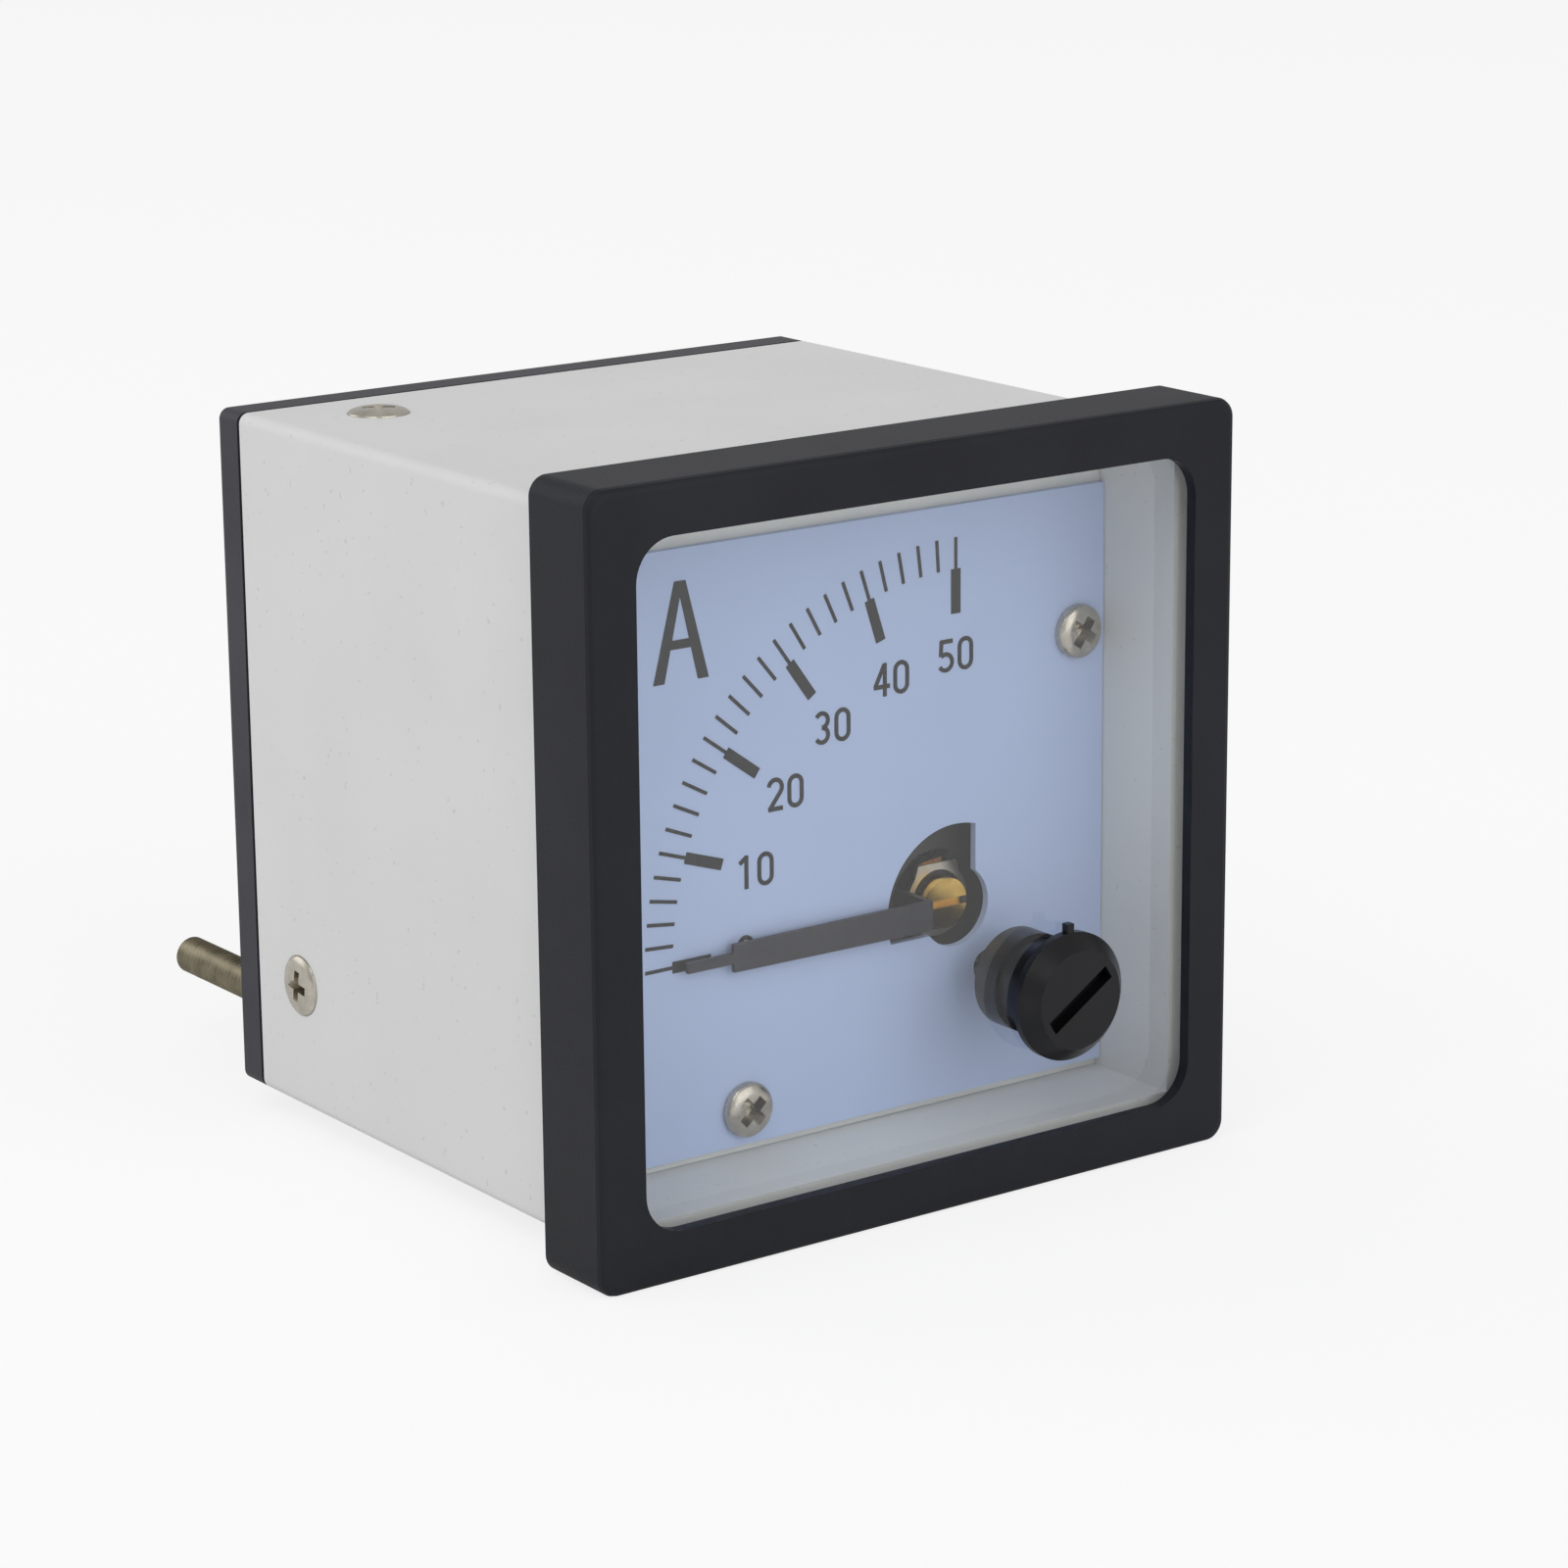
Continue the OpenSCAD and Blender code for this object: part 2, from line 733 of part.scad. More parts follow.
// Disc that closes the front of the movement, with a curved slot for the pointer's leg
module front_bridge() {
    color([0.16, 0.16, 0.17])
        difference() {
            rod(pivot_x, pivot_z, opening_r - fit, base_back - bridge_t, base_back);
            rod(pivot_x, pivot_z, jewel_screw_d / 2, base_back - bridge_t - 1, base_back + 1);
            rod(adjuster_x, adjuster_z, pin_hole_r, base_back - bridge_t - 1, base_back + 1);
            slab(base_back - bridge_t - 1, bridge_t + 2)
                translate([pivot_x, pivot_z])
                    difference() {
                        intersection() {
                            circle(leg_slot_out);
                            polygon([[0, 0], [3, 6], [-6, 6], [-6, -4], [-3, -4]]);
                        }
                        circle(leg_slot_in);
                    }
            for (a = bridge_angles)
                from_pivot(a)
                    rod(bridge_screw_r, 0, 0.8, base_back - bridge_t - 1, base_back + 1);
        }
}

module bridge_screws() {
    color([0.75, 0.73, 0.68])
        for (a = bridge_angles)
            from_pivot(a)
                translate([bridge_screw_r, base_back - bridge_t, 0])
                    rod(0, 0, 0.75, 0, bridge_t + shoulder_t + 3);
}

// Brass screw with a slot in its outer end and a pocket for the jewel in its inner end
module jewel_screw() {
    pocket = 0.7;
    difference() {
        rod(0, 0, jewel_screw_d / 2, 0, jewel_screw_len);
        rod(0, 0, pocket, jewel_screw_len - pocket, jewel_screw_len + 1);
        translate([-jewel_screw_d, -eps, -0.25])
            cube([2 * jewel_screw_d, 0.7, 0.5]);
    }
}

// Cup bearing with its mouth towards +Y
module jewel() {
    pocket = 0.7;
    difference() {
        rod(0, 0, pocket, jewel_screw_len - pocket, jewel_screw_len - 0.1);
        turned(0, 0, [[0, jewel_screw_len - 0.5], [0.4, jewel_screw_len], [0, jewel_screw_len]]);
    }
}

module front_jewel_screw() {
    color([0.8, 0.62, 0.28])
        from_pivot()
            translate([0, jewel_front_y, 0])
                jewel_screw();
}

module front_jewel() {
    color([0.75, 0.15, 0.25])
        from_pivot()
            translate([0, jewel_front_y, 0])
                jewel();
}

module rear_side() {
    from_pivot()
        translate([0, rear_screw_y + jewel_screw_len, 0])
            rotate([0, 0, 180])
                children();
}

module rear_jewel_screw() {
    color([0.8, 0.62, 0.28])
        rear_side()
            jewel_screw();
}

module rear_jewel() {
    color([0.75, 0.15, 0.25])
        rear_side()
            jewel();
}

module rear_bridge() {
    thick = 1.4;
    reach = rear_screw_r + 1.6;
    color([0.16, 0.16, 0.17])
        difference() {
            from_pivot(web_angle)
                union() {
                    translate([-reach, rear_bridge_y, -rear_bridge_w / 2])
                        cube([2 * reach, thick, rear_bridge_w]);
                    for (s = [-1, 1])
                        translate([s * rear_screw_r - 1.6, yoke_back, -rear_bridge_w / 2])
                            cube([3.2, rear_bridge_y - yoke_back + eps, rear_bridge_w]);
                }
            rod(pivot_x, pivot_z, jewel_screw_d / 2, rear_bridge_y - 1, rear_bridge_y + thick + 1);
            for (s = [-1, 1])
                from_pivot(web_angle)
                    rod(s * rear_screw_r, 0, 0.8, yoke_back - 1, rear_bridge_y + thick + 1);
        }
}

module rear_bridge_screws() {
    thick = 1.4;
    color([0.75, 0.73, 0.68])
        for (s = [-1, 1])
            from_pivot(web_angle)
                translate([s * rear_screw_r, rear_bridge_y + thick, 0])
                    rotate([0, 0, 180])
                        pan_screw(2.8, 0.9, 1.6, thick + rear_bridge_y - yoke_back + 3);
}

// Stamped arm turning on a jewel screw, with a leg that holds a spring's outer end.
// The leg runs from depth y towards to_y.
module spring_arm_ring(y) {
    slab(y, plate_t)
        difference() {
            circle(lever_ring_r);
            circle(jewel_screw_d / 2 + run_gap);
        }
}

module spring_leg(y0, y1) {
    translate([spring_end_r + spring_w / 2, y0, -0.3])
        cube([0.25, y1 - y0, 0.6]);
}

module rear_spring_arm() {
    color([0.78, 0.66, 0.35])
        from_pivot(web_angle + 90) {
            spring_arm_ring(rear_arm_y);
            spring_leg(rear_spring_y, rear_arm_y + eps);
            slab(rear_arm_y, plate_t)
                translate([jewel_screw_d / 2 + 0.4, -0.6])
                    square([5, 1.2]);
        }
}

module rear_hairspring() {
    color([0.75, 0.5, 0.3])
        from_pivot()
            hairspring(rear_spring_y, web_angle + 90);
}

// ---- zero adjuster ---------------------------------------------------------

module zero_adjuster() {
    rim = glass_front - face_gap;
    color([0.1, 0.1, 0.11])
        translate([adjuster_x, 0, adjuster_z]) {
            difference() {
                turned(0, 0, [
                    [0, knob_front], [knob_face_d / 2, knob_front], [knob_d / 2, rim - knob_rim_h],
                    [knob_d / 2, rim], [shank_d / 2, rim], [shank_d / 2, glass_back + face_gap],
                    [snap_d / 2, glass_back + face_gap], [snap_d / 2, flange_y],
                    [flange_d / 2, flange_y], [flange_d / 2, flange_y + flange_t], [0, flange_y + flange_t]
                ]);
                translate([0, knob_front, 0])
                    rotate([0, -knob_slot_angle, 0])
                        translate([-knob_slot_l / 2, -eps, -knob_slot_w / 2])
                            cube([knob_slot_l, knob_slot_deep + eps, knob_slot_w]);
            }
            slab(rim - knob_rim_h, knob_rim_h)
                translate([-0.25, knob_d / 2 - 0.2])
                    square([0.5, 0.75]);
            rotate([0, -lever_angle, 0])
                rod(pin_off, 0, pin_r, flange_y + flange_t - eps, pin_end);
        }
}

module zero_lever() {
    color([0.72, 0.72, 0.7])
        union() {
            from_pivot(lever_angle)
                slab(lever_y, plate_t)
                    difference() {
                        union() {
                            circle(lever_ring_r);
                            translate([0, -fork_w / 2])
                                square([lever_len + pin_off + 1.2, fork_w]);
                        }
                        circle(jewel_screw_d / 2 + run_gap);
                        translate([lever_len - pin_off - 1, -pin_r - fork_gap])
                            square([4, 2 * (pin_r + fork_gap)]);
                    }
            from_pivot(tag_angle)
                spring_leg(lever_y + plate_t - eps, spring_y + spring_h);
        }
}

module front_hairspring() {
    color([0.75, 0.5, 0.3])
        from_pivot()
            hairspring(spring_y, tag_angle);
}

// ---- moving parts ------------------------------------------------------------

module pointer() {
    foot_y = cross_y - plate_t;
    color([0.32, 0.32, 0.33])
        from_pivot(180) {
            slab(blade_y, blade_t)
                polygon([
                    [leg_r, -arm_w / 2], [stem_r, -arm_w / 2 + 0.1], [stem_r, -stem_w / 2],
                    [tip_r, -stem_w / 2], [tip_r, stem_w / 2], [stem_r, stem_w / 2],
                    [stem_r, arm_w / 2 - 0.1], [leg_r, arm_w / 2]
                ]);
            slab(blade_y, foot_y + plate_t - blade_y)
                translate([leg_r, -arm_w / 2])
                    square([leg_t, arm_w]);
            slab(foot_y, plate_t)
                translate([leg_r, -arm_w / 2])
                    square([1, arm_w]);
        }
}

// Bright plate on the pointer's leg, turning clear of the jewel screw
module hub_plate() {
    tab_h = 2.4;
    color([0.8, 0.79, 0.75])
        from_pivot()
            slab(hub_plate_y, plate_t)
                difference() {
                    union() {
                        circle(leg_r - 0.05);
                        polygon([[-2.25, -0.4], [-2.25, 0.1], [-1.5, tab_h], [1.5, tab_h], [2.25, 0.1], [2.25, -0.4]]);
                        translate([-leg_r, -0.6])
                            square([0.6, 1.2]);
                    }
                    circle(jewel_screw_d / 2 + 0.35);
                }
}

module balance_cross() {
    tail_r = 6.4;
    side_r = 4.6;
    color([0.8, 0.79, 0.75])
        from_pivot()
            slab(cross_y, plate_t)
                difference() {
                    union() {
                        circle(1.4);
                        translate([-leg_r - 1, -arm_w / 2])
                            square([leg_r + 1, arm_w]);
                        translate([0, -0.3])
                            square([tail_r, 0.6]);
                        translate([-0.3, -side_r])
                            square([0.6, side_r]);
                    }
                    circle(staff_r);
                }
}

// Wire sleeves wound on the tail and the side arm of the cross
module balance_weights() {
    weight_r = 0.5;
    color([0.72, 0.55, 0.32])
        from_pivot()
            for (arm = [[0, 5.2, 1.1], [-90, 3.4, 1.1]])
                rotate([0, -arm[0], 0])
                    translate([arm[1], cross_y + plate_t / 2, 0])
                        rotate([0, 90, 0])
                            difference() {
                                cylinder(h = arm[2], r = weight_r);
                                translate([-0.3, -plate_t / 2, -1])
                                    cube([0.6, plate_t, arm[2] + 2]);
                            }
}

// Rectangular loop in the plane of the pivot axis, closed round the core
module coil_loop(inside, thick, width) {
    outer_r = inside + thick;
    y0 = core_y - coil_slack - (inside - coil_in);
    length = core_len + 2 * (coil_slack + inside - coil_in);
    difference() {
        translate([-outer_r, y0 - thick, -width / 2])
            cube([2 * outer_r, length + 2 * thick, width]);
        translate([-inside, y0, -width])
            cube([2 * inside, length, 2 * width]);
    }
}

module coil_former() {
    color([0.8, 0.8, 0.8])
        from_pivot()
            coil_loop(coil_in, former_t, coil_w);
}

module coil_winding() {
    color([0.7, 0.38, 0.2])
        from_pivot()
            coil_loop(coil_in + former_t, winding_t, coil_w - 0.5);
}

module front_pivot() {
    color([0.7, 0.7, 0.72])
        turned(pivot_x, pivot_z, [
            [0, spring_y - face_gap - 0.45], [0.18, spring_y - face_gap], [staff_r, spring_y],
            [staff_r, cross_y + plate_t], [0.9, cross_y + plate_t], [0.9, coil_y], [0, coil_y]
        ]);
}

module rear_pivot() {
    color([0.7, 0.7, 0.72])
        turned(pivot_x, pivot_z, [
            [0, rear_screw_y + 0.45], [0.18, rear_screw_y], [staff_r, rear_screw_y - face_gap],
            [staff_r, coil_back + 0.3], [0.9, coil_back + 0.3], [0.9, coil_back], [0, coil_back]
        ]);
}

// ---- rear hardware -----------------------------------------------------------

module terminal_studs() {
    color([0.8, 0.68, 0.4])
        for (s = [-1, 1]) {
            rod(s * terminal_x, 0, terminal_d / 2, tag_y - eps, nut_2_y + nut_t);
            rod(s * terminal_x, 0, terminal_d / 2 - neck_deep, nut_2_y, cover_back + terminal_len - eps);
            rod(s * terminal_x, 0, terminal_d / 2 - end_step, nut_2_y + nut_t + neck_w,
                cover_back + terminal_len);
            hexagon(s * terminal_x, 0, nut_af, tag_y - terminal_head_t, terminal_head_t);
        }
}

module washers(y, r, t) {
    for (s = [-1, 1])
        difference() {
            rod(s * terminal_x, 0, r, y, y + t);
            rod(s * terminal_x, 0, terminal_d / 2, y - 1, y + t + 1);
        }
}

nut_1_y = cover_back + washer_t;
washer_2_y = nut_1_y + nut_t;
spring_washer_y = washer_2_y + washer_t;
nut_2_y = spring_washer_y + spring_washer_t;

module terminal_washers() {
    color([0.78, 0.78, 0.76])
        for (y = [cover_back, washer_2_y])
            washers(y, washer_r, washer_t);
}

module spring_washers() {
    color([0.7, 0.7, 0.68])
        difference() {
            washers(spring_washer_y, spring_washer_r, spring_washer_t);
            for (s = [-1, 1])
                translate([s * terminal_x, spring_washer_y - 1, -0.3])
                    cube([spring_washer_r + 1, spring_washer_t + 2, 0.6]);
        }
}

module terminal_nuts() {
    color([0.8, 0.68, 0.4])
        for (s = [-1, 1], y = [nut_1_y, nut_2_y])
            difference() {
                hexagon(s * terminal_x, 0, nut_af, y, nut_t);
                rod(s * terminal_x, 0, terminal_d / 2, y - 1, y + nut_t + 1);
            }
}

// Flat resistance strip that joins the two terminals inside the cover
module shunt_strip() {
    leg_x = terminal_x - nut_af / sqrt(3) - 0.25;
    foot_end = terminal_x + shunt_w / 2;
    color([0.62, 0.52, 0.42])
        difference() {
            union() {
                for (s = [-1, 1]) {
                    slab(shunt_y, shunt_t)
                        translate([s > 0 ? leg_x - shunt_t : -foot_end, -shunt_w / 2])
                            square([foot_end - leg_x + shunt_t, shunt_w]);
                    translate([s > 0 ? leg_x - shunt_t : -leg_x, shunt_y - shunt_rise, -shunt_w / 2])
                        cube([shunt_t, shunt_rise + eps, shunt_w]);
                }
                slab(shunt_y - shunt_rise, shunt_t)
                    square([2 * leg_x, shunt_w], center = true);
            }
            for (s = [-1, 1])
                rod(s * terminal_x, 0, terminal_d / 2, shunt_y - 1, shunt_y + shunt_t + 1);
        }
}

module solder_tags() {
    color([0.8, 0.78, 0.7])
        for (s = [-1, 1])
            slab(tag_y, tag_t)
                translate([s * terminal_x, 0])
                    difference() {
                        union() {
                            circle(3.4);
                            translate([-1, 0])
                                square([2, 8]);
                        }
                        circle(terminal_d / 2);
                    }
}

wire_r = 0.5;
tag_end_z = 7.2;
arm_back_y = rear_arm_y + plate_t;
arm_end = [pivot_x + 6 * cos(web_angle + 90), arm_back_y + face_gap, pivot_z + 6 * sin(web_angle + 90)];
yoke_end = [pivot_x - 9 * cos(10), yoke_back + face_gap, pivot_z + 9 * sin(10)];
wire_room = tag_y - arm_back_y;
resistor_start = arm_back_y + 0.42 * wire_room;
resistor_end = arm_back_y + 0.84 * wire_room;
resistor_r = 1.15;

module lead_wires() {
    red_end = [terminal_x, resistor_start - face_gap, tag_end_z];
    black_end = [-terminal_x, tag_y - face_gap, tag_end_z];
    color([0.7, 0.1, 0.1]) {
        tube(route(arm_end, arm_end + [0, 0.25 * wire_room, 0], red_end - [0, 0.25 * wire_room, 0], red_end, 16),
             wire_r);
        tube([[terminal_x, resistor_end + face_gap, tag_end_z], [terminal_x, tag_y - face_gap, tag_end_z]],
             wire_r);
    }
    color([0.1, 0.1, 0.12])
        tube(route(yoke_end, yoke_end + [0, 0.45 * wire_room, 0], black_end - [0, 0.5 * wire_room, 0],
                   black_end, 16), wire_r);
}

module calibration_resistor() {
    color([0.75, 0.65, 0.5])
        rod(terminal_x, tag_end_z, resistor_r, resistor_start, resistor_end);
}

module mounting_studs() {
    color([0.55, 0.53, 0.45])
        for (s = [-1, 1]) {
            rod(s * stud_off, s * stud_off, stud_root_r, cover_y - stud_boss_len + 1, cover_back + stud_nut_t);
            rod(s * stud_off, s * stud_off, stud_root_r - neck_deep, cover_back, cover_back + stud_len - eps);
            rod(s * stud_off, s * stud_off, stud_d / 2, cover_back + stud_nut_t + neck_w,
                cover_back + stud_len);
        }
}

module stud_nuts() {
    color([0.72, 0.72, 0.7])
        for (s = [-1, 1])
            difference() {
                hexagon(s * stud_off, s * stud_off, stud_nut_af, cover_back, stud_nut_t);
                rod(s * stud_off, s * stud_off, stud_root_r, cover_back - 1, cover_back + stud_nut_t + 1);
            }
}

bezel_frame();
window_glass();
housing();
rear_cover();
side_screws();
dial_plate();
scale_marks();
scale_numerals();
unit_letter();
dial_screws();
movement_base();
base_screws();
yoke_ring();
core_magnet();
core_sleeve();
front_bridge();
bridge_screws();
front_jewel_screw();
front_jewel();
rear_bridge();
rear_bridge_screws();
rear_jewel_screw();
rear_jewel();
rear_spring_arm();
rear_hairspring();
zero_adjuster();
zero_lever();
front_hairspring();
pointer();
hub_plate();
balance_cross();
balance_weights();
coil_former();
coil_winding();
front_pivot();
rear_pivot();
terminal_studs();
terminal_washers();
spring_washers();
terminal_nuts();
shunt_strip();
solder_tags();
lead_wires();
calibration_resistor();
mounting_studs();
stud_nuts();
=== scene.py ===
import bpy
import math
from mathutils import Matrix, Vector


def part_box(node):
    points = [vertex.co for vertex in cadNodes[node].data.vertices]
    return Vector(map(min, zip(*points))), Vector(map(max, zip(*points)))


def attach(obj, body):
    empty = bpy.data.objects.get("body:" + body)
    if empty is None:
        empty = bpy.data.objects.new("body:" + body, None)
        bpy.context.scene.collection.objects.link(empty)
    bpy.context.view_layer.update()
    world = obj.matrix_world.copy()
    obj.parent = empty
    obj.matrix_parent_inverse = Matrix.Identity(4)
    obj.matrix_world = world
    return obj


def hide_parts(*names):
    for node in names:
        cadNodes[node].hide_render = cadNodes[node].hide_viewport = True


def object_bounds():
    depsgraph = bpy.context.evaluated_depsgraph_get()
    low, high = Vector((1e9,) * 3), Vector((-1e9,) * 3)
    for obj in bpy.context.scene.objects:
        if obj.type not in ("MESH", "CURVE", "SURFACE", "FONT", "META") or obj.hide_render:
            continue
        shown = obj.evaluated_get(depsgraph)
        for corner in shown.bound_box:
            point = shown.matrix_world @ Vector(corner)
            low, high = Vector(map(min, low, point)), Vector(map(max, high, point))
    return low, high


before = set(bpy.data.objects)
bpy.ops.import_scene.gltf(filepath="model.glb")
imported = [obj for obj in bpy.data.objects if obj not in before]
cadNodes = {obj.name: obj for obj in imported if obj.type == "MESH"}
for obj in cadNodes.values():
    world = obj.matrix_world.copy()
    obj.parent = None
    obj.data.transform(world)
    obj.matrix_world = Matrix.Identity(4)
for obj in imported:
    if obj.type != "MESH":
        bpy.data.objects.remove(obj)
cadBox = [list(corner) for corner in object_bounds()]
mm = 0.001


def tint(red, green, blue, alpha=1.0):
    def straight(value):
        value = value / 255
        return value / 12.92 if value <= 0.04045 else ((value + 0.055) / 1.055) ** 2.4
    return (straight(red), straight(green), straight(blue), alpha)


class Wire:
    # a socket that can stand in a sum
    def __init__(self, finish, socket):
        self.finish = finish
        self.socket = socket

    def sum(self, operation, first, second):
        return self.finish.add("ShaderNodeMath", {"operation": operation}, [first, second])

    def __add__(self, other):
        return self.sum("ADD", self, other)

    def __radd__(self, other):
        return self.sum("ADD", other, self)

    def __sub__(self, other):
        return self.sum("SUBTRACT", self, other)

    def __mul__(self, other):
        return self.sum("MULTIPLY", self, other)

    def above(self, level):
        return self.sum("GREATER_THAN", self, level)


class Finish:
    # one material and its nodes
    def __init__(self, name):
        self.material = bpy.data.materials.new(name)
        self.material.use_nodes = True
        self.tree = self.material.node_tree
        self.shader = self.tree.nodes["Principled BSDF"]
        self.spot = self.add("ShaderNodeTexCoord", output="Object")

    def add(self, kind, settings=None, inputs=None, output=0):
        node = self.tree.nodes.new(kind)
        for key, value in (settings or {}).items():
            if key == "stops":
                ramp = node.color_ramp.elements
                while len(ramp) < len(value):
                    ramp.new(0.5)
                for stop, (place, colour) in zip(ramp, value):
                    stop.position = place
                    stop.color = colour
            else:
                setattr(node, key, value)
        pairs = inputs.items() if isinstance(inputs, dict) else enumerate(inputs or [])
        for key, value in pairs:
            self.feed(node.inputs[key], value)
        return Wire(self, node.outputs[output])

    def feed(self, socket, value):
        if isinstance(value, Wire):
            self.tree.links.new(value.socket, socket)
        else:
            socket.default_value = value

    def set(self, **values):
        for name, value in values.items():
            self.feed(self.shader.inputs[socketNames[name]], value)

    def noise(self, size, detail=4.0, roughness=0.55):
        return self.add("ShaderNodeTexNoise", {}, {"Vector": self.spot, "Scale": 1 / size, "Detail": detail,
                                                   "Roughness": roughness})

    def mix(self, factor, first, second):
        return self.add("ShaderNodeMix", {"data_type": "RGBA"}, {0: factor, 6: first, 7: second}, 2)

    def ramp(self, value, stops):
        return self.add("ShaderNodeValToRGB", {"stops": stops}, [value])

    def bump(self, height, depth, strength=1.0):
        normal = self.add("ShaderNodeBump", {}, {"Height": height, "Distance": depth, "Strength": strength})
        self.feed(self.shader.inputs["Normal"], normal)
        return self


socketNames = {"color": "Base Color", "roughness": "Roughness", "metallic": "Metallic", "coat": "Coat Weight",
               "ior": "IOR", "specular": "Specular IOR Level", "transmission": "Transmission Weight"}
# the repeat length of a wave texture at scale 1
waveScale = 0.314


def mouldedPlastic(name, look):
    finish = Finish(name)
    broad = finish.noise(look["patch"] * mm, 3)
    grain = finish.noise(look["grain"] * mm, 5, 0.6)
    shade = finish.ramp(broad, [(0.3, look["dark"]), (0.7, look["light"])])
    if "speck" in look:
        dots = finish.noise(look["speckSize"] * mm, 2, 0.5).above(look["speckLevel"])
        shade = finish.mix(dots * 0.6, shade, look["speck"])
    finish.set(color=shade, roughness=look["roughness"] + (grain - 0.5) * look["uneven"],
               specular=look.get("gloss", 0.5))
    return finish.bump(grain, look["depth"] * mm).material


def metal(name, look):
    finish = Finish(name)
    smear = finish.noise(look["patch"] * mm, 4)
    grain = finish.noise(look["grain"] * mm, 4, 0.6)
    finish.set(color=finish.ramp(smear, [(0.25, look["dark"]), (0.75, look["light"])]),
               metallic=look.get("metallic", 1.0),
               roughness=look["roughness"] + (smear - 0.5) * look["uneven"])
    return finish.bump(grain, look["depth"] * mm).material


def turnedMetal(name, look):
    # fine rings left by a lathe, about an axis along Y
    finish = Finish(name)
    moved = finish.add("ShaderNodeMapping", {}, {"Vector": finish.spot, "Location": look["centre"]})
    rings = finish.add("ShaderNodeTexWave", {"wave_type": "RINGS", "rings_direction": "Y"},
                       {"Vector": moved, "Scale": waveScale / (look["ring"] * mm), "Distortion": 0.6,
                        "Detail": 2.0})
    smear = finish.noise(look["patch"] * mm, 4)
    finish.set(color=finish.ramp(smear, [(0.25, look["dark"]), (0.75, look["light"])]), metallic=1.0,
               roughness=look["roughness"] + (smear - 0.5) * look["uneven"])
    return finish.bump(rings, look["depth"] * mm, 0.5).material


def windowGlass(name, look):
    finish = Finish(name)
    haze = finish.noise(look["haze"] * mm, 3)
    finish.set(color=look["color"], roughness=haze * look["uneven"], transmission=1.0, ior=1.49)
    light = finish.add("ShaderNodeLightPath", output="Is Shadow Ray")
    bounce = finish.add("ShaderNodeLightPath", output="Is Diffuse Ray")
    clear = finish.add("ShaderNodeBsdfTransparent", {}, {"Color": look["shade"]})
    glass = Wire(finish, finish.shader.outputs[0])
    through = finish.add("ShaderNodeMixShader", {}, {0: light + bounce, 1: glass, 2: clear})
    finish.feed(finish.tree.nodes["Material Output"].inputs["Surface"], through)
    return finish.material


def printedPaint(name, look):
    finish = Finish(name)
    patch = finish.noise(look["patch"] * mm, 3)
    grain = finish.noise(look["grain"] * mm, 3)
    finish.set(color=finish.ramp(patch, [(0.3, look["dark"]), (0.7, look["light"])]),
               roughness=look["roughness"] + (grain - 0.5) * 0.08, specular=look.get("gloss", 0.4))
    return finish.bump(grain, look["depth"] * mm, 0.6).material


def woundWire(name, look):
    finish = Finish(name)
    # one band per wire turn: the ramp paints shade into the groove between turns, dark at the band's low end
    # and copper on the crest
    turns = finish.add("ShaderNodeTexWave", {"wave_type": "BANDS", "bands_direction": "Z"},
                       {"Vector": finish.spot, "Scale": waveScale / (look["wire"] * mm), "Distortion": 0.4,
                        "Detail": 1.0})
    finish.set(color=finish.ramp(turns, [(0.0, look["dark"]), (0.6, look["light"])]), metallic=0.85,
               roughness=0.32 + turns * 0.1, coat=0.4)
    return finish.bump(turns, look["wire"] * 0.4 * mm).material


plastics = {
    "bezel": {"dark": tint(22, 23, 30), "light": tint(29, 30, 37), "patch": 9, "grain": 0.16, "roughness": 0.5,
              "uneven": 0.2, "depth": 0.012, "gloss": 0.24},
    "housing": {"dark": tint(216, 217, 216), "light": tint(220, 221, 220), "patch": 12, "grain": 0.35,
                "roughness": 0.55, "uneven": 0.16, "depth": 0.006, "speck": tint(194, 194, 188),
                "speckSize": 0.5, "speckLevel": 0.72},
    "cover": {"dark": tint(45, 44, 52), "light": tint(55, 54, 62), "patch": 8, "grain": 0.22, "roughness": 0.5,
              "uneven": 0.15, "depth": 0.01, "gloss": 0.35},
    "base": {"dark": tint(214, 215, 212), "light": tint(222, 223, 220), "patch": 6, "grain": 0.3,
             "roughness": 0.5, "uneven": 0.1, "depth": 0.005},
    "knob": {"dark": tint(8, 8, 12), "light": tint(13, 13, 18), "patch": 3, "grain": 0.12, "roughness": 0.3,
             "uneven": 0.12, "depth": 0.003, "gloss": 0.35},
    "bridge": {"dark": tint(40, 38, 38), "light": tint(50, 48, 47), "patch": 2, "grain": 0.15, "roughness": 0.5,
               "uneven": 0.12, "depth": 0.006},
    "sleeve": {"dark": tint(150, 22, 20), "light": tint(168, 30, 26), "patch": 2, "grain": 0.12,
               "roughness": 0.45, "uneven": 0.1, "depth": 0.003},
    "resistor": {"dark": tint(176, 152, 112), "light": tint(190, 166, 124), "patch": 1.5, "grain": 0.2,
                 "roughness": 0.4, "uneven": 0.1, "depth": 0.004},
    "jewel": {"dark": tint(140, 18, 44), "light": tint(170, 30, 60), "patch": 0.4, "grain": 0.1,
              "roughness": 0.08, "uneven": 0.02, "depth": 0.0005},
}
